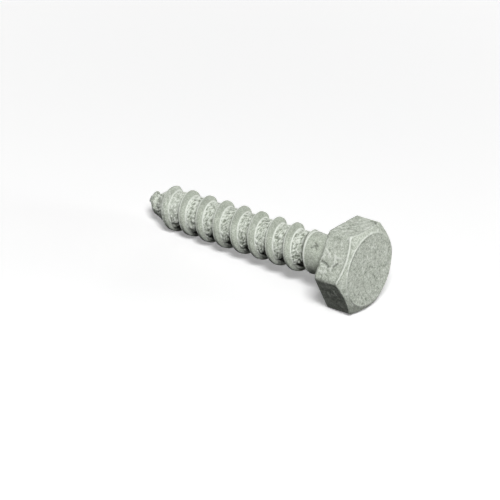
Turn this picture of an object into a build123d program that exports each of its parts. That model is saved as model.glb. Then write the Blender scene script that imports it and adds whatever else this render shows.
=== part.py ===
"""Hexagon-head lag screw, hot-dip galvanised, 10 mm by 50 mm, as one forged and rolled solid.

The screw is modelled upright on its own axis: bearing face at height 0, head above it, point below.
At the end it is laid down as it comes to rest, on the rim of one head flat and one thread crest.
Lengths are millimetres, angles are degrees.
"""

import os
from math import atan, cos, degrees, floor, radians, sin, tan

from build123d import *

# Head
across_flats = 17.0
head_height = 6.5
head_rim_width = 0.85  # from a flat to the flat round top inside the chamfer
head_chamfer_angle = 32.0
head_corner_radius = 1.1

# Shank
shank_length = 49.6  # bearing face to tip
neck_dia = 8.44  # plain part under the head
neck_length = 6.5
neck_slant_angle = 5.0  # the neck ends on a slant, as the rolled thread runs into it
neck_end_chamfer = 0.25
neck_flare = 0.4  # under the head

# Thread
thread_dia = 9.56  # over the crests
core_dia = 7.5
pitch = 4.5
crest_land = 0.5
head_flank_width = 1.0  # flank that faces the head, measured along the axis
tip_flank_width = 1.3  # flank that faces the tip, measured along the axis
ridge_root_depth = 0.5  # how far the ridge is rooted in the core
last_crest_from_tip = 8.24  # last full crest on the side that the screw lies on
fade_lead = 3.1  # the ridge starts to sink this far before the neck ends
fade_length = 5.4
fade_drop = 1.3

# Point
point_length = 6.2  # stretch on which the thread tapers
core_point_lead = 0.7  # the core starts to taper this much nearer the tip than the thread
core_tip_radius = 0.45
ridge_tip_radius = 0.35  # where the tapering ridge ends
ridge_tip_gap = 0.2
nib_dia = 4.6  # small thread end on the tip
nib_length = 1.8
waist_dia = 5.6  # the thread nearly vanishes here, between nib and first full turn
waist_from_tip = 3.7
trim_seam_angle = 200.0  # the trimming shape's seam is kept off the ends of the ridge
shoulder_overrun = 0.9  # how far above the taper the trimming cone meets the full crest

head_top_dia = across_flats - 2 * head_rim_width
thread_height = (thread_dia - core_dia) / 2
core_point_length = point_length - core_point_lead
tip_height = -shank_length
taper_height = tip_height + point_length
fade_start = -neck_length - fade_lead
last_crest_height = tip_height + last_crest_from_tip


def ridge_angle(height):
    """Angle about the axis at which the ridge crest has this height; the screw lies on angle -90."""
    return -90 + 360 * (height - last_crest_height) / pitch


def ridge_profile(height):
    """Section of the thread ridge, standing on the core in the plane through the axis."""
    turn = radians(ridge_angle(height))
    outward = (cos(turn), sin(turn), 0)
    foot = (core_dia / 2 * cos(turn), core_dia / 2 * sin(turn), height)
    head_slope = head_flank_width / thread_height
    tip_slope = tip_flank_width / thread_height
    head_side = crest_land / 2 + head_flank_width
    tip_side = crest_land / 2 + tip_flank_width
    with BuildSketch(Plane(origin=foot, x_dir=outward, z_dir=(sin(turn), -cos(turn), 0))) as profile:
        with BuildLine():
            Polyline(
                (-ridge_root_depth, -tip_side - ridge_root_depth * tip_slope),
                (thread_height, -crest_land / 2),
                (thread_height, crest_land / 2),
                (-ridge_root_depth, head_side + ridge_root_depth * head_slope),
                close=True,
            )
        make_face()
    return profile.sketch


def thread_ridge(low, high, low_radius, high_radius, profile_height):
    """Stretch of right-hand ridge between two heights; it rises or sinks with its helix."""
    slope = atan((high_radius - low_radius) / (high - low))
    with BuildLine() as helix:
        Helix(
            pitch=pitch / cos(slope),  # on a cone the pitch is measured along its slant
            height=high - low,
            radius=low_radius,
            center=(0, 0, low),
            cone_angle=degrees(slope),
        )
    with BuildPart() as ridge:
        sweep(
            ridge_profile(profile_height),
            path=helix.line.rotate(Axis.Z, ridge_angle(low)),
            is_frenet=True,
        )
    return ridge.part


# Ridge on the straight shank
full_ridge = thread_ridge(taper_height, fade_start, core_dia / 2, core_dia / 2, taper_height)

# Ridge that sinks into the neck
fade_ridge = thread_ridge(
    fade_start, fade_start + fade_length, core_dia / 2, core_dia / 2 - fade_drop, fade_start
)

# Ridge on the point, cut back to a waist and a small nib
with BuildPart() as point_ridge:
    add(
        thread_ridge(
            tip_height + ridge_tip_gap, taper_height, ridge_tip_radius, core_dia / 2, taper_height
        )
    )
    seam = radians(trim_seam_angle)
    trim_plane = Plane(origin=(0, 0, 0), x_dir=(cos(seam), sin(seam), 0), z_dir=(sin(seam), -cos(seam), 0))
    with BuildSketch(trim_plane):
        with BuildLine():
            Polyline(
                (0, tip_height),
                (core_tip_radius, tip_height),
                (nib_dia / 2, tip_height + nib_length),
                (waist_dia / 2, tip_height + waist_from_tip),
                (thread_dia / 2 + thread_height, taper_height + shoulder_overrun),
                (thread_dia / 2 + thread_height, taper_height + pitch),
                (0, taper_height + pitch),
                close=True,
            )
        make_face()
    revolve(axis=Axis.Z, mode=Mode.INTERSECT)

# Plain neck, its lower end slanted so that it is longest where the ridge comes in
with BuildPart() as neck:
    with BuildSketch():
        Circle(neck_dia / 2)
    extrude(amount=-neck_length - neck_dia)
    longest_side = radians(ridge_angle(-neck_length) - 90)
    lean = sin(radians(neck_slant_angle))
    neck_end = Plane(
        origin=(0, 0, -neck_length),
        z_dir=(lean * cos(longest_side), lean * sin(longest_side), cos(radians(neck_slant_angle))),
    )
    split(bisect_by=neck_end, keep=Keep.TOP)
    chamfer(neck.edges().sort_by(Axis.Z)[0], length=neck_end_chamfer)

# Hexagon head with the corners cut by a cone, as forged
with BuildPart() as head:
    with BuildSketch():
        RegularPolygon(radius=across_flats / 2, side_count=6, major_radius=False)
    extrude(amount=head_height)
    fillet(head.edges().filter_by(Axis.Z), radius=head_corner_radius)
    head_reach = 0.6 * across_flats  # just past the corners
    chamfer_drop = (head_reach - head_top_dia / 2) * tan(radians(head_chamfer_angle))
    with BuildSketch(Plane.XZ):
        with BuildLine():
            Polyline(
                (0, 0),
                (head_reach, 0),
                (head_reach, head_height - chamfer_drop),
                (head_top_dia / 2, head_height),
                (0, head_height),
                close=True,
            )
        make_face()
    revolve(axis=Axis.Z, mode=Mode.INTERSECT)

# Core with its pointed end and the flare under the head, then everything joined to it
with BuildPart() as upright_screw:
    with BuildSketch(Plane.XZ):
        with BuildLine():
            Polyline(
                (0, head_height / 2),
                (neck_dia / 2 + neck_flare, head_height / 2),
                (neck_dia / 2 + neck_flare, 0),
                (neck_dia / 2, -neck_flare),
                (core_dia / 2, -neck_flare),
                (core_dia / 2, tip_height + core_point_length),
                (core_tip_radius, tip_height),
                (0, tip_height),
                close=True,
            )
        make_face()
    revolve(axis=Axis.Z)
    add(full_ridge)
    add(point_ridge.part)
    add(fade_ridge)
    add(neck.part)
    add(head.part)

# Laid down: the rim of the lowest head flat and the last full crest both touch the floor
rest_tilt = atan((across_flats / 2 - thread_dia / 2) / -last_crest_height)
lying = Plane(
    origin=(0, 0, across_flats / 2 * cos(rest_tilt)),
    x_dir=(0, 1, 0),
    z_dir=(cos(rest_tilt), 0, sin(rest_tilt)),
)
lag_screw = upright_screw.part.moved(lying.location)
middle = lag_screw.bounding_box().center()
lag_screw = lag_screw.moved(Location((-middle.X, -middle.Y, 0)))
lag_screw.label = "lag_screw"

os.makedirs("parts", exist_ok=True)
export_step(lag_screw, "parts/lag_screw.step")

full_turns = floor((fade_start - taper_height) / pitch)
print("axis tilt", round(degrees(rest_tilt), 3), "full turns", full_turns)
print("bearing face centre", lying.origin.X - middle.X, lying.origin.Z)
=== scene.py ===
import math

import bmesh
import bpy
from mathutils import Matrix, Vector, noise
from mathutils.geometry import intersect_point_line


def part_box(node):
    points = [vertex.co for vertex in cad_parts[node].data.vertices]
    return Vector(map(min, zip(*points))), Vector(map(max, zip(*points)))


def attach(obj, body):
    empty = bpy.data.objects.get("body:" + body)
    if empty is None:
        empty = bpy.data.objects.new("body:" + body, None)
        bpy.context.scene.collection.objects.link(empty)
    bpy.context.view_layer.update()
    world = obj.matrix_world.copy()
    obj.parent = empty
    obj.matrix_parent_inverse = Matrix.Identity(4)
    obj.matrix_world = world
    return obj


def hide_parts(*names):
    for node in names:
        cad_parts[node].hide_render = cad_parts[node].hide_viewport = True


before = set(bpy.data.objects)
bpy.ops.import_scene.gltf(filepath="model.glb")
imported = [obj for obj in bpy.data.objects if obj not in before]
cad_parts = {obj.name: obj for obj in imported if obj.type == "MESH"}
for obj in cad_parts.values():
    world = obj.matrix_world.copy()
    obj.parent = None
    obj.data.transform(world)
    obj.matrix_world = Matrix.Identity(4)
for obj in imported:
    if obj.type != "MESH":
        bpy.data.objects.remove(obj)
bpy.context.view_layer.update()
print("frame loaded")

# The screw is shaped upright in millimetres, with its bearing face at height 0 and its point below.
# Angles go round its axis, in degrees: it lies on 270, 90 is on top, and the camera stands at
# about 150. layDown turns it into metres and lays it where the CAD solid lies.


def smoothMin(a, b, reach):
    # the smaller one, blended where they differ by less than reach
    near = max(reach - abs(a - b), 0.0) / reach
    return min(a, b) - near * near * reach / 4


def smoothMax(a, b, reach):
    return -smoothMin(-a, -b, reach)


def ramp(x, low, high):
    # 0 below low, 1 above high, smooth between them
    t = min(max((x - low) / (high - low), 0.0), 1.0)
    return t * t * (3 - 2 * t)


def plateau(x, start, full, fading, end):
    # 1 between full and fading, 0 outside start and end
    return ramp(x, start, full) * (1 - ramp(x, fading, end))


def hump(x, middle, width):
    return math.exp(-((x - middle) / width) ** 2)


def along(table, x):
    for (x0, y0), (x1, y1) in zip(table, table[1:]):
        if x <= x1:
            return y0 + (y1 - y0) * (x - x0) / (x1 - x0)
    return table[-1][1]


def grainAt(place, coarse, fine, shift, fineShare):
    # coarse and fine noise together, about -1 to 1
    return noise.noise(place * coarse) * 0.5 + noise.noise(place * fine + Vector(shift)) * fineShare


shank = {
    "length": 49.6,         # bearing face to tip
    "neckRadius": 4.22,
    "neckLength": 6.9,
    "neckSlant": 9.6,       # the neck ends along the crest of the last turn
    "neckLongSide": 90,     # angle at which the neck is longest
    "neckEndSlope": 3,      # how steeply it ends, radius over height
    "flare": 0.4,
    "flareBend": 0.12,      # the flare is bent this far out and down from the neck
    "threadRadius": 4.78,
    "coreRadius": 3.62,
    "pitch": 4.5,
    # section of one turn: distance from the crest line towards the head, height over the core
    "section": (
        (-2.3, 0.08), (-1.8, 0.05), (-1.05, 0.05), (-0.42, 1.2), (0.2, 1.2), (0.9, 0.38),
        (1.1, 0.34), (2.2, 0.08), (2.7, 0.05), (3.1, 0.05),
    ),
    "rounding": (-0.06, -0.03, 0.0, 0.03, 0.06),    # the section is averaged over these steps
    "footLedge": (1.25, 0.65),      # where the ledge at the foot of each turn is, half its width
    "footDrop": 0.3,        # the ledge is gone on the far upper side
    "footDropSide": 60,
    "lastCrest": 8.24,      # last full crest above the tip, on the side that it lies on
    "fadeLead": 2.7,        # the thread starts to sink this far before the neck
    "fadeSlope": 0.28,
    "blends": {"limit": 0.2, "core": 0.2, "neckEnd": 0.15, "neck": 0.06},
    "columnsPerTurn": 176,
    # rows of one pitch of wall, from the crest line, closest where the section bends
    "rows": (
        -1.8, -1.62, -1.45, -1.28, -1.14, -1.05, -0.96, -0.8, -0.6, -0.47, -0.4, -0.32, -0.16,
        0.03, 0.18, 0.26, 0.34, 0.45, 0.58, 0.71, 0.83, 0.91, 0.98, 1.05, 1.13, 1.23, 1.34,
        1.46, 1.58, 1.7, 1.82, 1.94, 2.06, 2.16, 2.25, 2.34, 2.44, 2.57, 2.7,
    ),
    "turnsOfWall": 14,
    "turnsBelow": 3,        # so many of them start below the last full crest
    "seam": -1.5,           # where the spun thread meets the spun head
    "seamGap": 0.25,        # bridged between the two
}
point = {
    "tipRadius": 0.3,
    "roundTip": 0.25,       # stretch on which the tip is rounded
    "cut": 0.012,           # the wall is cut this much above the tip and closed with a fan
    "bend": 0.3,            # the very tip stands this much above the axis as it lies
    "bendReach": 5,
    "taper": 6.2,
    "coreTaper": 5.5,
    "ridgeFoot": 0.35,
    "ridgeGap": 0.2,        # the ridge ends this much above the tip
    # no turn stands out further than this: height above the tip, radius
    "limit": (
        (0.0, 0.15), (0.6, 1.05), (1.3, 2.1), (1.9, 2.55), (3.7, 2.75), (5.8, 4.7), (8.5, 4.65),
        (12.5, 4.6), (17.0, 4.74), (22.0, 4.85), (60.0, 4.85),
    ),
}
tipHeight = -shank["length"]
lastCrest = tipHeight + shank["lastCrest"]
fadeStart = -shank["neckLength"] - shank["fadeLead"]


def crestOffset(angle, height):
    # distance along the axis from the crest line, within the rows of one pitch of wall
    crest = lastCrest + shank["pitch"] * (math.degrees(angle) + 90) / 360
    offset = (height - crest) % shank["pitch"]
    return offset - shank["pitch"] if offset > shank["rows"][-1] else offset


def threadHeight(offset):
    # section of the thread over its core, zinc in the root included, with its corners rounded
    samples = [along(shank["section"], offset + step) for step in shank["rounding"]]
    return sum(samples) / len(samples)


def shoulder(angle, height):
    # how far above the slanted end of the neck this height is
    slant = math.tan(math.radians(shank["neckSlant"]))
    fromLongSide = angle - math.radians(shank["neckLongSide"])
    end = -shank["neckLength"] - slant * shank["neckRadius"] * math.cos(fromLongSide)
    return height - end


def shankRadius(angle, height):
    blends = shank["blends"]
    fromTip = height - tipHeight
    gap = point["ridgeGap"]
    share = min(max((fromTip - gap) / (point["taper"] - gap), 0.0), 1.0)
    foot = point["ridgeFoot"] + (shank["coreRadius"] - point["ridgeFoot"]) * share
    if height > fadeStart:
        foot -= shank["fadeSlope"] * (height - fadeStart)
    coreShare = min(fromTip / point["coreTaper"], 1.0)
    core = point["tipRadius"] + (shank["coreRadius"] - point["tipRadius"]) * coreShare
    offset = crestOffset(angle, height)
    farShare = max(math.cos(angle - math.radians(shank["footDropSide"])), 0) ** 2
    drop = shank["footDrop"] * farShare * hump(offset, *shank["footLedge"])
    ridge = foot + threadHeight(offset) - drop
    ridge = smoothMin(ridge, along(point["limit"], fromTip), blends["limit"])
    radius = smoothMax(core, ridge, blends["core"])
    neck = shank["neckRadius"]
    neckEnd = neck + shank["neckEndSlope"] * shoulder(angle, height)
    radius = smoothMax(radius, smoothMin(neck, neckEnd, blends["neckEnd"]), blends["neck"])
    if fromTip < point["roundTip"]:
        radius *= math.sqrt(max(1 - (1 - fromTip / point["roundTip"]) ** 2, 0.0))
    return radius


def spinThread(bm):
    # one pitch of wall, wound up the axis; neighbouring turns share their edge
    pitch = shank["pitch"]
    start = lastCrest - shank["turnsBelow"] * pitch
    wall = [bm.verts.new((0, -5, start + offset)) for offset in shank["rows"]]
    line = [bm.edges.new(pair) for pair in zip(wall, wall[1:])]
    columns = shank["columnsPerTurn"]
    bmesh.ops.spin(
        bm, geom=wall + line, cent=(0, 0, 0), axis=(0, 0, 1), dvec=(0, 0, pitch / columns),
        angle=2 * math.pi, steps=columns, use_merge=False,
    )
    oneTurn = bm.verts[:] + bm.edges[:] + bm.faces[:]
    for number in range(1, shank["turnsOfWall"]):
        copy = bmesh.ops.duplicate(bm, geom=oneTurn)["geom"]
        copyVerts = [item for item in copy if isinstance(item, bmesh.types.BMVert)]
        bmesh.ops.translate(bm, vec=(0, 0, number * pitch), verts=copyVerts)
    bmesh.ops.remove_doubles(bm, verts=bm.verts, dist=0.02)
    for height, way in ((tipHeight + point["cut"], -1), (shank["seam"], 1)):
        bmesh.ops.bisect_plane(
            bm, geom=bm.verts[:] + bm.edges[:] + bm.faces[:], dist=0.0005,
            plane_co=(0, 0, height), plane_no=(0, 0, way), clear_outer=True,
        )
    for vert in bm.verts:
        angle = math.atan2(vert.co.y, vert.co.x)
        radius = shankRadius(angle, vert.co.z)
        vert.co.x, vert.co.y = radius * math.cos(angle), radius * math.sin(angle)
    tipLoop = [
        edge for edge in bm.edges if edge.is_boundary and edge.verts[0].co.z < tipHeight + 1
    ]
    tipFace = bmesh.ops.contextual_create(bm, geom=tipLoop)["faces"]
    bmesh.ops.poke(bm, faces=tipFace)


# small marks in the zinc: a path on the upright screw, half its width, how far it stands up
marks = {
    "flat towards the camera": (
        (((-8.0, 3.1, 0.5), (-8.1, 2.9, 1.6), (-8.4, 2.5, 2.3)), 0.22, -0.21),
        (((-8.2, 2.8, 3.4), (-7.8, 3.5, 4.1)), 0.2, -0.18),
        (((-8.6, 2.0, 3.4), (-8.2, 2.7, 3.3)), 0.19, -0.1),
        (((-6.7, 5.3, 0.6), (-7.1, 4.7, 1.6), (-7.4, 4.1, 2.3)), 0.22, 0.1),
        (((-7.7, 3.6, 3.3), (-7.3, 4.4, 3.4), (-7.2, 4.5, 4.6)), 0.22, 0.1),
        (((-7.7, 3.7, 0.3), (-7.3, 4.3, 0.8)), 0.22, 0.09),
        (((-8.6, 2.1, 3.0), (-8.2, 2.9, 3.1)), 0.22, 0.09),
        (((-5.6, 7.1, 2.4), (-6.3, 5.8, 2.0), (-6.7, 5.1, 2.9)), 0.2, 0.07),
        (((-9.2, 1.1, 1.2), (-8.9, 1.7, 2.2)), 0.22, 0.07),
    ),
    "neck": (
        (((-3.3, 2.6, -5.5), (-2.8, 3.1, -4.9), (-2.8, 3.1, -4.2)), 0.19, -0.15),
        (((-2.4, 3.5, -5.2), (-2.7, 3.3, -4.5)), 0.18, -0.14),
        (((-2.9, 3.0, -4.9), (-3.3, 2.6, -4.1)), 0.17, -0.12),
    ),
    "top flat": (
        (((0.5, 8.5, -0.1), (1.4, 8.5, 2.2)), 0.19, -0.08),
        (((-0.2, 8.5, 1.7), (3.6, 8.5, 4.3)), 0.2, -0.048),
        (((-3.6, 8.5, 1.2), (0.6, 8.5, 3.5)), 0.2, -0.048),
        (((-4.7, 8.5, 2.9), (-1.1, 8.5, 5.0)), 0.2, -0.048),
        (((-2.6, 8.5, 0.3), (-0.4, 8.5, 1.2)), 0.2, 0.07),
        (((-1.6, 8.5, 0.8), (1.8, 8.5, 3.1)), 0.19, -0.048),
        (((-2.6, 8.5, 2.5), (0.2, 8.5, 4.4)), 0.18, -0.048),
        (((-3.9, 8.5, 2.3), (-1.9, 8.5, 3.6)), 0.18, 0.07),
        (((0.6, 8.5, 2.9), (2.9, 8.5, 4.6)), 0.18, 0.06),
        (((1.8, 8.5, 1.5), (3.4, 8.5, 2.8)), 0.18, -0.048),
        (((-0.4, 8.5, 5.3), (1.4, 8.5, 5.3), (1.8, 8.5, 5.6)), 0.2, 0.14),
        (((4.3, 8.5, 4.6), (3.3, 8.5, 5.5)), 0.22, -0.16),
    ),
    "face": (
        (((-5.5, -2.8, 6.5), (-4.5, -4.3, 6.5)), 0.2, -0.07),
        (((5.1, 0.7, 6.5), (6.0, 2.3, 6.5)), 0.2, 0.07),
    ),
    "lower flat": (
        (((-6.6, -5.6, 0.1), (-5.8, -6.9, 0.5)), 0.17, 0.06),
        (((-8.5, -2.3, 3.7), (-7.8, -3.5, 4.1)), 0.17, 0.06),
        (((-7.3, -4.3, 3.9), (-7.3, -4.4, 4.8)), 0.16, 0.055),
        (((-6.0, -6.6, 1.3), (-5.8, -7.0, 2.3)), 0.17, 0.06),
        (((-8.8, -1.7, 1.5), (-8.7, -1.9, 3.1)), 0.17, 0.06),
        (((-7.9, -3.3, 1.9), (-7.2, -4.6, 2.1)), 0.17, 0.06),
        (((-6.3, -6.0, 3.4), (-5.9, -6.8, 4.4)), 0.16, 0.055),
    ),
    "upper corner": (
        (((-5.3, 7.9, 5.2), (-4.6, 8.6, 5.0)), 0.25, 0.1),
    ),
    "roots": (
        (((-3.5, -1.2, -40.4), (-3.6, -0.8, -39.4)), 0.32, 0.16),
        (((-3.4, -1.4, -36.2), (-3.6, -1.0, -35.0)), 0.32, 0.16),
    ),
    "point": (
        (
            ((-1.7, 2.3, -45.7), (-2.5, 1.3, -45.4), (-2.8, 0.0, -44.9), (-2.6, -1.2, -44.7)),
            0.36, -0.085,
        ),
    ),
}
markReach = 5.5     # no mark is felt further from its start than this
markPaths = [
    ([Vector(place) for place in path], width, rise)
    for group in marks.values()
    for path, width, rise in group
]


def fromPath(place, path):
    nearest = math.inf
    for start, end in zip(path, path[1:]):
        closest, part = intersect_point_line(place, start, end)
        closest = start if part < 0 else end if part > 1 else closest
        nearest = min(nearest, (place - closest).length)
    return nearest


def markAt(place):
    # how far the small marks stand up or sink here
    rise = 0
    for path, width, height in markPaths:
        if (place - path[0]).length <= markReach:
            rise += height * hump(fromPath(place, path), 0, width)
    return rise


head = {
    "acrossFlats": 17.0,
    "height": 6.5,
    "rimWidth": 0.85,       # from a flat to the round top
    "chamferAngle": 32.0,
    "cornerRadius": 1.1,
    "faceSink": 0.07,       # the face lies this much below its rim
    "columns": 252,         # a multiple of 12, so that a column runs down every corner
    "rows": {"face": 32, "chamfer": 8, "flats": 28, "underside": 18, "flare": 3, "neck": 5},
    "edgeBands": (0.3, 0.35),   # verts this near an edge are smoothed, before it and past it
    "edgeRounds": 3,        # passes of smoothing along the edges
    "fineFrom": 0.004,      # the mesh is twice as fine where a mark moves it more than this
}
headFlat = head["acrossFlats"] / 2
headTop = headFlat - head["rimWidth"]
chamferSlope = math.tan(math.radians(head["chamferAngle"]))
chamferDrop = (headFlat - headTop) * chamferSlope


def hexRadius(angle):
    apothem, rounding = headFlat, head["cornerRadius"]
    fromCorner = (angle + math.pi / 6) % (math.pi / 3) - math.pi / 6
    fromFlat = math.pi / 6 - abs(fromCorner)
    if fromFlat < math.atan((apothem - rounding) * math.tan(math.pi / 6) / apothem):
        return apothem / math.cos(fromFlat)
    reach = (apothem - rounding) / math.cos(math.pi / 6)
    aside = reach * math.sin(fromCorner)
    return reach * math.cos(fromCorner) + math.sqrt(rounding**2 - aside**2)


def chamferHeight(radius):
    # height of the chamfer at this distance from the axis
    return head["height"] - (radius - headTop) * chamferSlope


def headProfile():
    rows = head["rows"]
    neck, flare, bend = shank["neckRadius"], shank["flare"], shank["flareBend"]
    # corners from the middle of the face down to the neck, with the rows that lead to each
    corners = [
        ((0, head["height"]), 0),
        ((headTop, head["height"]), rows["face"]),
        ((headFlat, head["height"] - chamferDrop), rows["chamfer"]),
        ((headFlat, 0), rows["flats"]),
        ((neck + flare, 0), rows["underside"]),
        ((neck + bend, -bend), rows["flare"]),
        ((neck, -flare), rows["flare"]),
        ((neck, shank["seam"] + shank["seamGap"]), rows["neck"]),
    ]
    points = [corners[0][0]]
    for ((x0, z0), _), ((x1, z1), count) in zip(corners, corners[1:]):
        for step in range(1, count + 1):
            share = step / count
            points.append((x0 + (x1 - x0) * share, z0 + (z1 - z0) * share))
    return points


def spinHead(bm):
    # a round head is spun first, then each column is drawn out to the hexagon
    wall = [bm.verts.new((radius, 0, height)) for radius, height in headProfile()]
    line = [bm.edges.new(pair) for pair in zip(wall, wall[1:])]
    bmesh.ops.spin(
        bm, geom=wall + line, cent=(0, 0, 0), axis=(0, 0, 1), dvec=(0, 0, 0),
        angle=2 * math.pi, steps=head["columns"], use_merge=True,
    )
    bmesh.ops.remove_doubles(bm, verts=bm.verts, dist=0.001)
    chamferFoot = head["height"] - chamferDrop
    inner = shank["neckRadius"] + shank["flare"]
    narrow, wide = head["edgeBands"]
    edgeVerts = []
    for vert in bm.verts:
        x, y, height = vert.co
        radius = math.hypot(x, y)
        if radius < 0.01:
            continue
        angle = math.atan2(y, x)
        reach = hexRadius(angle)
        wallTop = chamferHeight(reach)
        if height > head["height"] - 0.001 and radius < headTop + 0.001:    # face
            target = radius
            nearEdge = radius > headTop - narrow
        elif radius < headFlat - 0.001 and height > 0.01:   # chamfer
            target = headTop + (radius - headTop) / (headFlat - headTop) * (reach - headTop)
            height = chamferHeight(target)
            nearEdge = target - headTop < wide or reach - target < narrow
        elif radius > headFlat - 0.001:     # flats
            height = height / chamferFoot * wallTop
            target = reach
            nearEdge = wallTop - height < wide or height < narrow
        elif height > -0.001:   # underside
            target = inner + (radius - inner) / (headFlat - inner) * (reach - inner)
            nearEdge = reach - target < wide
        else:   # flare and neck
            target = radius
            nearEdge = False
        if nearEdge:
            edgeVerts.append(vert)
        vert.co = (target * math.cos(angle), target * math.sin(angle), height)
    nearMarks = []
    for edge in bm.edges:
        # judged at its middle, because the order of its two verts changes from run to run
        middle = (edge.verts[0].co + edge.verts[1].co) / 2
        if middle.z > 0.05 and abs(markAt(middle)) > head["fineFrom"]:
            nearMarks.append(edge)
    bmesh.ops.subdivide_edges(bm, edges=nearMarks, cuts=1, use_grid_fill=True)
    edgeVerts = [vert for vert in edgeVerts if vert.is_valid]
    for _ in range(head["edgeRounds"]):
        bmesh.ops.smooth_vert(
            bm, verts=edgeVerts, factor=0.5, use_axis_x=True, use_axis_y=True, use_axis_z=True
        )


def joinSeam(bm):
    low, high = shank["seam"] - 0.05, shank["seam"] + shank["seamGap"] + 0.05
    seam = [edge for edge in bm.edges if edge.is_boundary and low < edge.verts[0].co.z < high]
    bmesh.ops.bridge_loops(bm, edges=seam)


# zinc that the bath left, with painted shade and painted highlights; spans are start, full, fading,
# end, and humps are middle, width
headZinc = {
    "lumps": 0.035,
    "sunk": 0.02,           # all of it lies this much deeper, so that lumps stay inside the size
    "grain": (1.0, 2.3, (5, 1, 2), 0.9),
    "calmEdge": 0.6,        # the edges are smoother by this share
    "edgeRise": 0.03,
    "faceFrom": (6.3, 6.45),
    "sinkEnd": (7.35, 7.6),     # radius at which the sunk face rises to its rim
    # arcs of painted shade round the face: radius, angle, weight
    "shadedFaceArcs": (((7.35, 0.2), (135, 35), 1), ((7.62, 0.13), (233, 45), 1.4)),
    "shadeUnderHead": ((0.0, 0.05), (4.7, 5.2)),     # painted shade next to the neck: height, radius
    "shadedLowEdge": ((0.1, 0.4), (7.5, 8.0), 0.6),   # painted shade on the rim under the flats, and its share
    # painted shade over the head, but for the flat towards the camera, and more of it on the flat
    # below that
    "flatTop": (5.0, 5.6),
    "flatFoot": (0.0, 0.2),
    "unshadedFlat": (150, 28),
    "shadedLowFlat": (210, 30),
    "darkening": (0.13, 0.35),
    "rough": (0.75, 0.25),      # on the flats, and added on the face
    # zinc run to the arc over each flat and round the top rim, painted pale there as a highlight,
    # most on the flat towards the camera
    "arcShares": (0.3, 0.3, 1.0, 0.2, 0.35, 0.4),
    "arcLean": 0.55,        # the arc's line leans over the chamfer by this much
    "rimShare": (0.15, 0.35),
    "rimSide": (2.36, 0.6),     # radians: where the rim's painted highlight is palest
    "rimFrom": (5.6, 6.0),
    "rimOffset": 0.05,
    "edgeWidths": (0.16, 0.17),     # of the rim and of the arc
    "lineWidths": (0.4, 0.5),
    # how strong the painted highlight lines and edges are
    "line": 1.3,
    "edge": 0.3,
}
shankZinc = {
    "flank": 0.02,
    "root": 0.13,
    "sunk": 0.01,
    "grain": (1.6, 3.4, (3, 7, 1), 0.8),
    # slanted runs in the root: share, grain across and along them, where in the noise
    "strokes": (
        (1.8, (2.5, 3.5), (0.7, 1.0), 0.0),
        (0.5, (0.9, 1.2), (0.5, 0.7), 5.0),
        (0.9, (4.0, 5.4), (1.3, 1.9), 9.0),
    ),
    "strokeRadius": 3.7,    # arcs are measured at this radius
    "threadEnd": (-0.4, 0.0),
    "fullFrom": (4.5, 7.0),
    "point": (5.0, 12.0),
    "nib": (3.5, 5.0),
    "nearTip": (9.0, 17.0),
    "inRoot": (0.9, 1.1, 3.35, 3.5),
    "shadeInGap": (-1.35, -1.15, -0.65, -0.45),      # painted shade as a dark line on the tip side of each turn
    "onFlank": (-0.45, -0.3, 0.8, 1.0),
    "halfRoot": -1.0,       # below this offset the root of the turn before goes on
    # painted highlights as pale lines along the crest, at the foot of each turn and at the neck's
    # end, on low zinc ridges
    "crestLine": -0.36,
    "footLine": 0.96,
    "neckLine": 0.24,
    "edgeWidths": (0.14, 0.12),
    "neckRim": (0.26, 0.22),
    "lineWidths": (0.35, 0.6),      # on the thread, at the neck
    "rises": (0.06, 0.1, 0.03),     # of the foot, the neck's rim and the crest
    "edges": (0.3, 0.3, 0.35),      # how pale the painted highlights on the crest, the foot and the neck's rim are
    # painted light makes the flanks on the lower side a little paler, and painted shade darkens the
    # upper side
    "lowSide": (195, 225, 250, 280),
    "upSide": (50, 90, 125, 160),
    "onNeck": (0.0, 0.4),
    "paintedLowLight": (0.4, 0.8),      # painted light on the flanks, and the neck's share of that
    "darkening": (0.32, 0.18),       # painted shade on the upper flanks, and darkening on the point
    # painted shade on the neck next to the head: heights
    "shadeUnderHead": (-0.8, -0.2),
    "rough": (0.9, 0.28),       # on the point, and the least of all
}
deepShadedRoot = {
    "turn": (193, 201, 290, 320),   # degrees between which the root is cut deeper and painted dark as shade
    "across": (0.95, 1.2, 3.3, 3.5),
    "depth": 0.4,
    # how dark the painted shade in that sector is
    "dark": 1.7,
    "waver": 4,             # degrees
    "lean": 12,             # degrees per millimetre along the axis
    "lateAtPoint": 9,       # degrees lower on the turns next to the point
    "pointEnd": (13.5, 18.0),
}
# sunk marks get painted shade and raised marks a painted highlight, by how far they move
markShadeAndHighlight = {"perMillimetre": 9, "darkest": 1.1, "palest": 0.8}
# edge and line carry painted highlights and painted light; the mask after edge carries painted
# shade and the darker point
masks = ("rough", "edge", "shadeAndDark", "relief", "line", "fromTurnLine", "fromRimLine")


def headEdges(place, radius, angle):
    # how near an edge of the head is, from 0 to 1, as the share of its painted highlight, stronger
    # where the zinc ran to the edge, the same more widely, and the distance from the nearest edge
    # line
    fromRim = radius - headTop - headZinc["rimOffset"]
    reach = hexRadius(angle)
    fromArc = place.z - chamferHeight(reach) + headZinc["arcLean"] * (reach - radius)
    run = 0.5 + noise.noise(place * 1.3)
    arcShare = headZinc["arcShares"][round(math.degrees(angle) / 60 - 0.5) % 6]
    arcShare *= min(0.6 + 0.6 * run, 1)
    least, more = headZinc["rimShare"]
    palest, spread = headZinc["rimSide"]
    rimShare = least + more * hump(math.cos(angle - palest), 1, spread)
    rimShare = rimShare * (0.5 + run) * ramp(place.z, *headZinc["rimFrom"])
    near, wide = (
        max(rimShare * hump(fromRim, 0, rimWidth), arcShare * hump(fromArc, 0, arcWidth))
        for rimWidth, arcWidth in (headZinc["edgeWidths"], headZinc["lineWidths"])
    )
    return near, wide, min(fromArc, fromRim)


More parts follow.
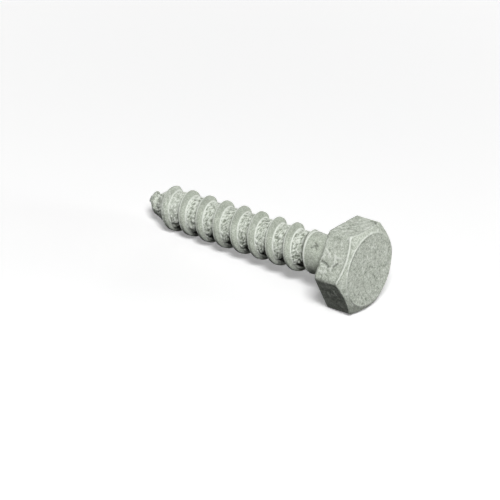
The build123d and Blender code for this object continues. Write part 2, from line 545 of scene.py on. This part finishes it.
def coatHead(place, angle):
    # how far the zinc moves the head's surface here, and the masks that the material reads
    radius = math.hypot(place.x, place.y)
    side = math.degrees(angle) % 360
    onEdge, onLine, fromRimLine = headEdges(place, radius, angle)
    onFace = ramp(place.z, *headZinc["faceFrom"])
    sink = head["faceSink"] * (1 - ramp(radius, *headZinc["sinkEnd"])) * onFace
    # painted shade in arcs inside the face's rim
    shadeArcs = onFace * max(
        weight * hump(radius, *ring) * hump(side, *middle)
        for ring, middle, weight in headZinc["shadedFaceArcs"]
    )
    # painted shade on the bearing face next to the neck
    heights, radii = headZinc["shadeUnderHead"]
    shadeUnderHead = (1 - ramp(place.z, *heights)) * (1 - ramp(radius, *radii))
    heights, radii, share = headZinc["shadedLowEdge"]
    shadedLowEdge = share * (1 - ramp(place.z, *heights)) * ramp(radius, *radii)
    # painted shade: the flat towards the camera is left lighter and the flat below it is darkened
    # most
    onFlat = 1 - ramp(place.z, *headZinc["flatTop"])
    pale = onFlat * hump(side, *headZinc["unshadedFlat"])
    under = onFlat * ramp(place.z, *headZinc["flatFoot"]) * hump(side, *headZinc["shadedLowFlat"])
    darkening, lowFlatShade = headZinc["darkening"]
    relief = grainAt(place, *headZinc["grain"])
    move = headZinc["lumps"] * relief * (1 - headZinc["calmEdge"] * onEdge)
    move += headZinc["edgeRise"] * onEdge - headZinc["sunk"] - sink
    rough, rougher = headZinc["rough"]
    return move, {
        "rough": rough + rougher * onFace,
        # painted highlights along the top rim and the arcs
        "edge": headZinc["edge"] * onEdge,
        # painted shade: arcs round the face, next to the neck, on the rim under the flats, and over
        # the head but for the flat towards the camera, most on the flat below it
        "shadeAndDark": max(shadeArcs, shadeUnderHead, shadedLowEdge, darkening * (1 - pale) + lowFlatShade * under * (1 - pale)),
        "relief": relief,
        # the same painted highlights, drawn as lines
        "line": headZinc["line"] * onLine,
        "fromTurnLine": -1,     # far from any line of the thread
        "fromRimLine": fromRimLine,
    }


def strokes(arc, offset):
    # short slanted zinc runs, about -1 to 1
    return sum(
        share * noise.noise(Vector((x[0] * arc + x[1] * offset, y[0] * offset - y[1] * arc, z)))
        for share, x, y, z in shankZinc["strokes"]
    )


def deepShadedShare(angle, fromCrest, fromTip):
    # how far the root here lies in the deeper sector painted as shade, from 0 to 1; it starts lower
    # on the turns next to the point
    wander = noise.noise(Vector((fromCrest, angle * 2, 0)))
    turn = math.degrees(angle) % 360 + deepShadedRoot["waver"] * wander
    late = deepShadedRoot["lateAtPoint"] * (1 - ramp(fromTip, *deepShadedRoot["pointEnd"]))
    turn -= deepShadedRoot["lean"] * (deepShadedRoot["across"][2] - fromCrest) + late
    return plateau(turn, *deepShadedRoot["turn"]) * plateau(fromCrest, *deepShadedRoot["across"])


def coatShank(place, angle):
    # how far the zinc moves the shank's surface here, and the masks that the material reads
    offset = crestOffset(angle, place.z)
    over = shoulder(angle, place.z)
    fromTip = place.z - tipHeight
    side = math.degrees(angle) % 360
    onThread = 1 - ramp(over, *shankZinc["threadEnd"])
    onPoint = 1 - ramp(fromTip, *shankZinc["point"])
    onNib = 1 - ramp(fromTip, *shankZinc["nib"])
    nearTip = 1 - ramp(fromTip, *shankZinc["nearTip"])
    full = ramp(fromTip, *shankZinc["fullFrom"]) * onThread
    # the root runs on past the middle between two turns, where the offset starts anew
    fromCrest = offset + (shank["pitch"] if offset < shankZinc["halfRoot"] else 0)
    inRoot = plateau(fromCrest, *shankZinc["inRoot"]) * onThread
    shadeInGap = plateau(offset, *shankZinc["shadeInGap"]) * full
    onFlank = plateau(offset, *shankZinc["onFlank"]) * full
    deepShaded = deepShadedShare(angle, fromCrest, fromTip) * full

    crestWidth, footWidth = shankZinc["edgeWidths"]
    crest = hump(offset, shankZinc["crestLine"], crestWidth) * full
    foot = hump(offset, shankZinc["footLine"], footWidth) * full
    rim = min(1.6 * hump(over, *shankZinc["neckRim"]), 1)
    threadLine, neckLine = shankZinc["lineWidths"]
    crestLine = 0.8 * hump(offset, shankZinc["crestLine"], threadLine) * full
    footLine = hump(offset, shankZinc["footLine"], threadLine) * full

    # painted light on the lower flanks and painted shade on the upper ones; the point is darker
    flankShare, neckShare = shankZinc["paintedLowLight"]
    paintedLowLight = flankShare * plateau(side, *shankZinc["lowSide"])
    paintedLowLight *= max(onFlank, neckShare * ramp(over, *shankZinc["onNeck"]))
    shadedFlank, darkerPoint = shankZinc["darkening"]
    shadedFlank *= plateau(side, *shankZinc["upSide"]) * onFlank
    darkerPoint *= onPoint * (1 - onNib)

    arc = 2 * math.pi * shankZinc["strokeRadius"] * (place.z - fromCrest) / shank["pitch"]
    relief = strokes(arc, fromCrest) * inRoot
    relief += grainAt(place, *shankZinc["grain"]) * (1 - inRoot)
    # towards the tip the hollows are shallower and the lumps are higher, most so on the nib
    relief *= 1 - 0.6 * nearTip * (1 - onNib) if relief < 0 else 1 + 0.3 * nearTip
    relief *= 1 + 0.5 * onNib
    flank, root = shankZinc["flank"], shankZinc["root"]
    move = (flank + (root - flank) * max(inRoot, 0.7 * onPoint)) * relief
    move -= shankZinc["sunk"] * onThread + deepShadedRoot["depth"] * deepShaded
    footRise, rimRise, crestRise = shankZinc["rises"]
    move += footRise * foot + rimRise * rim + crestRise * crest
    roughPoint, leastRough = shankZinc["rough"]
    paleCrest, paleFoot, paleRim = shankZinc["edges"]
    return move, {
        "rough": max(inRoot, roughPoint * onPoint, leastRough),
        # painted highlights on the crest, the foot and the neck's rim, and painted light on the
        # lower flanks
        "edge": max(paleCrest * crest, paleFoot * foot, paleRim * rim, paintedLowLight),
        # painted shade in the gaps, in the deeper root sector, under the head and on the upper
        # flanks, and the darker point
        "shadeAndDark": max(
            shadeInGap, deepShadedRoot["dark"] * deepShaded, ramp(place.z, *shankZinc["shadeUnderHead"]),
            shadedFlank, darkerPoint,
        ),
        "relief": relief,
        # painted highlight lines
        "line": max(crestLine, footLine, hump(over, shankZinc["neckLine"], neckLine)),
        # above 0 between the lines of a turn; on the neck it falls steeply below
        "fromTurnLine": min(
            offset - shankZinc["crestLine"], shankZinc["footLine"] - offset, -3 * over - 0.3
        ),
        "fromRimLine": over - shankZinc["neckLine"],
    }


def coatScrew(bm):
    layers = {name: bm.verts.layers.float.new(name) for name in masks}
    bm.normal_update()
    moves = []
    for vert in bm.verts:
        place = vert.co.copy()
        angle = math.atan2(place.y, place.x)
        coatHere = coatHead if place.z > -0.3 else coatShank
        move, values = coatHere(place, angle)
        rise = markAt(place)
        # painted shade in sunk marks, painted highlight on raised ones
        markLight = markShadeAndHighlight["perMillimetre"] * rise
        values["shadeAndDark"] = max(values["shadeAndDark"], min(-markLight, markShadeAndHighlight["darkest"]))
        values["edge"] = max(values["edge"], min(markLight, markShadeAndHighlight["palest"]))
        for name, layer in layers.items():
            vert[layer] = values[name]
        moves.append((vert, vert.normal * (move + rise)))
    for vert, move in moves:
        vert.co += move
        vert.co.y += point["bend"] * max(1 - (vert.co.z - tipHeight) / point["bendReach"], 0) ** 2


def layDown(bm):
    # onto the rim of the lowest flat and the last full crest, centred as the CAD solid is
    tilt = math.atan((headFlat - shank["threadRadius"]) / -lastCrest)
    lowCorner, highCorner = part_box("lag_screw")
    laid = Matrix((
        (0, -math.sin(tilt), math.cos(tilt)),
        (1, 0, 0),
        (0, math.cos(tilt), math.sin(tilt)),
    )).to_4x4()
    bmesh.ops.scale(bm, vec=(0.001, 0.001, 0.001), verts=bm.verts)
    bmesh.ops.transform(bm, matrix=laid, verts=bm.verts)
    # 21.1409 mm is where the CAD model puts the bearing face along X
    shift = Vector((0.0211409, 0, headFlat / 1000 * math.cos(tilt)))
    bmesh.ops.translate(bm, vec=shift, verts=bm.verts)
    for vert in bm.verts:
        vert.co.x = min(max(vert.co.x, lowCorner.x), highCorner.x)
        vert.co.y = min(max(vert.co.y, lowCorner.y), highCorner.y)
        vert.co.z = min(max(vert.co.z, 0.0), highCorner.z)


def buildScrew():
    # the head is spun in a mesh of its own, so that its welds don't touch the thread
    headMesh = bpy.data.meshes.new("spunHead")
    bm = bmesh.new()
    spinHead(bm)
    bm.to_mesh(headMesh)
    bm.free()
    bm = bmesh.new()
    spinThread(bm)
    bm.from_mesh(headMesh)
    bpy.data.meshes.remove(headMesh)
    joinSeam(bm)
    bmesh.ops.recalc_face_normals(bm, faces=bm.faces)
    coatScrew(bm)
    layDown(bm)
    bmesh.ops.recalc_face_normals(bm, faces=bm.faces)
    bmesh.ops.triangulate(bm, faces=[face for face in bm.faces if len(face.verts) > 4])
    mesh = bpy.data.meshes.new("zincScrew")
    bm.to_mesh(mesh)
    openEdges = sum(1 for edge in bm.edges if not edge.is_manifold)
    print("screw mesh:", len(mesh.polygons), "faces, open edges:", openEdges)
    bm.free()
    mesh.shade_smooth()
    screw = bpy.data.objects.new("zincScrew", mesh)
    bpy.context.collection.objects.link(screw)
    return screw


screw = buildScrew()
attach(screw, "root")
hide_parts("lag_screw")
print("screw built")

coat = {
    "pale": (0.545, 0.595, 0.5, 1),
    "mid": (0.435, 0.475, 0.395, 1),
    "dark": (0.22, 0.25, 0.195, 1),
    "bright": (0.87, 0.91, 0.835, 1),
    # near-black, for painted shade and the darker point
    "deep": (0.05, 0.055, 0.045, 1),
    "metallic": 0.0,
    "shine": 0.015,
    "roughness": (0.42, 0.62),
    "bumpDistance": 0.00008,
    # grain: scale per millimetre, detail, roughness
    "cloud": (0.45, 3.0, 0.5),
    "mottle": (1.5, 3.0, 0.6),
    "speck": (4.2, 2.0, 0.7),
    "wormScale": 1.1,
    # stretches: from, to, and what these become
    "cloudSpan": (0.3, 0.7),
    "paleSpeck": (0.5, 0.61, 0.0, 0.72),
    "darkSpeck": (0.48, 0.38, 0.0, 0.64),
    "speckShare": (0.6, 0.4),       # on rough zinc, and added everywhere
    "highSpan": (0.15, 0.6),
    "lowSpan": (-0.1, -0.7),
    # how much of the pale, dark or deep colour each mask brings
    "wormShare": 0.4,
    "roughShare": 0.22,
    "highShare": 0.95,
    "lowShare": 0.8,
    # the edge share brings painted highlights and painted light, the next share painted shade
    "edgeShare": 0.9,
    "shadeAndDarkShare": 0.5,
    # painted highlight lines drawn by their distance in millimetres, with thin borders of painted
    # shade
    "turnLine": (0.2, 0.06),
    "rimLine": (0.24, 0.1),
    "border": 0.42,
    "borderSpan": (0.16, 0.04, 0.0, 0.45),
    "lineMottle": (0.35, 0.55, 0.7, 1.1),
    "gritShares": (0.8, 0.4),       # of the specks and of the worms in the bump
}


class NodeBoard:
    def __init__(self, tree):
        self.tree = tree
        self.tree.nodes.clear()

    def add(self, kind, inputs=(), **settings):
        node = self.tree.nodes.new(kind)
        for name, value in settings.items():
            setattr(node, name, value)
        for socket, value in dict(inputs).items():
            if isinstance(value, bpy.types.NodeSocket):
                self.tree.links.new(value, node.inputs[socket])
            else:
                node.inputs[socket].default_value = value
        return node

    def math(self, operation, a, b=0.0, c=0.0):
        return self.add("ShaderNodeMath", {0: a, 1: b, 2: c}, operation=operation).outputs[0]

    def blend(self, share, a, b):
        node = self.add("ShaderNodeMix", {0: share, 6: a, 7: b}, data_type="RGBA")
        return node.outputs[2]

    def grain(self, place, scale, detail=2.0, roughness=0.5):
        node = self.add(
            "ShaderNodeTexNoise",
            {"Vector": place, "Scale": scale, "Detail": detail, "Roughness": roughness},
        )
        return node.outputs["Fac"]

    def worms(self, place, scale):
        # thin raised lines that wander and come and go
        line = self.math("ABSOLUTE", self.math("SUBTRACT", self.grain(place, scale, 1.0), 0.5))
        patches = self.stretch(self.grain(place, scale * 0.6, 1.0), 0.48, 0.56)
        return self.math("MULTIPLY", self.stretch(line, 0.035, 0.008), patches)

    def stretch(self, value, low, high, outLow=0.0, outHigh=1.0):
        inputs = {
            "Value": value, "From Min": low, "From Max": high, "To Min": outLow, "To Max": outHigh,
        }
        node = self.add("ShaderNodeMapRange", inputs, interpolation_type="SMOOTHSTEP")
        return node.outputs["Result"]


def zincMaterial():
    material = bpy.data.materials.new("galvanisedZinc")
    material.use_nodes = True
    board = NodeBoard(material.node_tree)
    place = board.add("ShaderNodeTexCoord").outputs["Object"]
    inMillimetres = board.add(
        "ShaderNodeMapping", {"Vector": place, "Scale": (1000, 1000, 1000)}
    ).outputs["Vector"]
    rough, edge, shadeAndDark, relief, line, fromTurnLine, fromRimLine = (
        board.add("ShaderNodeAttribute", attribute_name=name).outputs["Fac"] for name in masks
    )

    cloud = board.grain(inMillimetres, *coat["cloud"])
    mottle = board.grain(inMillimetres, *coat["mottle"])
    speck = board.grain(inMillimetres, *coat["speck"])
    worm = board.worms(inMillimetres, coat["wormScale"])

    tone = board.blend(board.stretch(cloud, *coat["cloudSpan"]), coat["mid"], coat["pale"])
    speckShare = board.math("MULTIPLY_ADD", rough, *coat["speckShare"])
    paleSpeck = board.math("MULTIPLY", board.stretch(speck, *coat["paleSpeck"]), speckShare)
    darkSpeck = board.math("MULTIPLY", board.stretch(speck, *coat["darkSpeck"]), speckShare)
    tone = board.blend(paleSpeck, tone, coat["bright"])
    tone = board.blend(darkSpeck, tone, coat["dark"])
    high = board.math("MULTIPLY", board.stretch(relief, *coat["highSpan"]), rough)
    low = board.math("MULTIPLY", board.stretch(relief, *coat["lowSpan"]), rough)
    for mask, share, colour in (
        (worm, coat["wormShare"], coat["bright"]),
        (rough, coat["roughShare"], coat["bright"]),
        (high, coat["highShare"], coat["bright"]),
        (low, coat["lowShare"], coat["dark"]),
        # painted highlights and painted light
        (edge, coat["edgeShare"], coat["bright"]),
    ):
        tone = board.blend(board.math("MULTIPLY", mask, share), tone, colour)

    toTurnLine = board.math("ABSOLUTE", fromTurnLine)
    toRimLine = board.math("ABSOLUTE", fromRimLine)
    # painted shade as thin borders beside the rim line
    toBorder = board.math("ABSOLUTE", board.math("SUBTRACT", toRimLine, coat["border"]))
    border = board.math("MULTIPLY", board.stretch(toBorder, *coat["borderSpan"]), line)
    tone = board.blend(border, tone, coat["dark"])
    # painted highlights along the lines
    onTurnLine = board.stretch(toTurnLine, *coat["turnLine"])
    onRimLine = board.stretch(toRimLine, *coat["rimLine"])
    crisp = board.math("MAXIMUM", onTurnLine, onRimLine)
    lineShare = board.math("MULTIPLY", line, board.stretch(mottle, *coat["lineMottle"]))
    tone = board.blend(board.math("MULTIPLY", lineShare, crisp), tone, coat["bright"])
    # painted shade, and the darker point, in the near-black colour
    deep = board.math("MULTIPLY", shadeAndDark, coat["shadeAndDarkShare"])
    tone = board.blend(deep, tone, coat["deep"])

    roughness = board.stretch(mottle, *coat["cloudSpan"], *coat["roughness"])

    speckGrit, wormGrit = coat["gritShares"]
    grit = board.math("ADD", mottle, board.math("MULTIPLY", speck, speckGrit))
    height = board.math("ADD", grit, board.math("MULTIPLY", worm, wormGrit))
    bump = board.add(
        "ShaderNodeBump", {"Height": height, "Distance": coat["bumpDistance"], "Strength": 1.0}
    ).outputs["Normal"]
    shader = board.add(
        "ShaderNodeBsdfPrincipled",
        {
            "Base Color": tone, "Metallic": coat["metallic"], "Roughness": roughness,
            "Specular IOR Level": coat["shine"], "Normal": bump,
        },
    )
    board.add("ShaderNodeOutputMaterial", {"Surface": shader.outputs["BSDF"]})
    return material


screw.data.materials.append(zincMaterial())
print("zinc coat done")

stage = {
    "seen": (0.93, 0.93, 0.93, 1),      # floor as the camera and reflections see it
    "bounce": (0.02, 0.02, 0.02, 1),    # floor as it lights the screw from below
    "lift": (0.24, 1.0),                # glow of the floor as seen, by the screw and far from it
    "liftReach": (0.05, 0.6),           # metres from the screw between which the glow rises
    "ambient": 0.02,
    "floorReach": 3,                    # metres from the middle to each side
    "lampDistance": 1.0,
    "lampTarget": (0, 0, 0.009),
}


def seenByCamera(board):
    path = board.add("ShaderNodeLightPath").outputs
    seen = board.math("MAXIMUM", path["Is Camera Ray"], path["Is Glossy Ray"])
    return board.math("MAXIMUM", seen, path["Is Transmission Ray"])


def buildFloor():
    bm = bmesh.new()
    bmesh.ops.create_grid(bm, x_segments=1, y_segments=1, size=stage["floorReach"])
    mesh = bpy.data.meshes.new("paleFloor")
    bm.to_mesh(mesh)
    bm.free()
    floor = bpy.data.objects.new("paleFloor", mesh)
    bpy.context.collection.objects.link(floor)
    material = bpy.data.materials.new("paleFloor")
    material.use_nodes = True
    board = NodeBoard(material.node_tree)
    seen = seenByCamera(board)
    colour = board.blend(seen, stage["bounce"], stage["seen"])
    surface = board.add("ShaderNodeBsdfDiffuse", {"Color": colour}).outputs[0]
    place = board.add("ShaderNodeTexCoord").outputs["Object"]
    away = board.add("ShaderNodeVectorMath", {0: place}, operation="LENGTH").outputs["Value"]
    lift = board.stretch(away, *stage["liftReach"], *stage["lift"])
    strength = board.math("MULTIPLY", seen, lift)
    glow = board.add("ShaderNodeEmission", {"Strength": strength}).outputs[0]
    both = board.add("ShaderNodeAddShader", {0: surface, 1: glow}).outputs[0]
    board.add("ShaderNodeOutputMaterial", {"Surface": both})
    mesh.materials.append(material)


def buildWorld():
    world = bpy.data.worlds.new("paleRoom")
    world.use_nodes = True
    board = NodeBoard(world.node_tree)
    ambient = stage["ambient"]
    strength = board.math("MULTIPLY_ADD", seenByCamera(board), 1 - ambient, ambient)
    white = (1, 1, 1, 1)
    room = board.add("ShaderNodeBackground", {"Color": white, "Strength": strength}).outputs[0]
    board.add("ShaderNodeOutputWorld", {"Surface": room})
    bpy.context.scene.world = world


lamps = {
    "keyLamp": {"toward": (0.42, -0.50, 0.757), "size": 0.3, "level": 0.965},
    "sideLamp": {"toward": (0.861, 0.497, 0.11), "size": 0.32, "level": 0.37},
    "rearLamp": {"toward": (-0.985, 0.0, 0.174), "size": 0.32, "level": 0.22},
    "backLamp": {"toward": (-0.4, 0.91, 0.03), "size": 0.32, "level": 0.45},
}


def buildLamps():
    distance = stage["lampDistance"]
    for name, lamp in lamps.items():
        light = bpy.data.lights.new(name, "AREA")
        light.shape = "SQUARE"
        light.size = lamp["size"]
        light.energy = lamp["level"] * (math.pi * distance) ** 2
        holder = bpy.data.objects.new(name, light)
        way = Vector(lamp["toward"]).normalized()
        holder.location = Vector(stage["lampTarget"]) + way * distance
        holder.rotation_euler = way.to_track_quat("Z", "Y").to_euler()
        bpy.context.collection.objects.link(holder)


camera = {
    "place": (0.272730, -0.388661, 0.253674),
    "right": (0.79093895, 0.60725995, 0.0751727),
    "up": (-0.33800801, 0.33119393, 0.88094334),
    "back": (0.51006487, -0.72218137, 0.4672129),
    "lens": 188.50,
    "sensorWidth": 36,
    "clipEnd": 20,
}


def buildCamera():
    data = bpy.data.cameras.new("photoCamera")
    data.sensor_fit = "HORIZONTAL"
    data.sensor_width = camera["sensorWidth"]
    data.lens = camera["lens"]
    data.clip_end = camera["clipEnd"]
    holder = bpy.data.objects.new("photoCamera", data)
    turn = Matrix((camera["right"], camera["up"], camera["back"])).transposed()
    holder.matrix_world = Matrix.Translation(camera["place"]) @ turn.to_4x4()
    bpy.context.collection.objects.link(holder)
    bpy.context.scene.camera = holder


buildFloor()
buildWorld()
buildLamps()
buildCamera()
bpy.context.scene.view_settings.view_transform = "Standard"
print("floor, lamps and camera set")
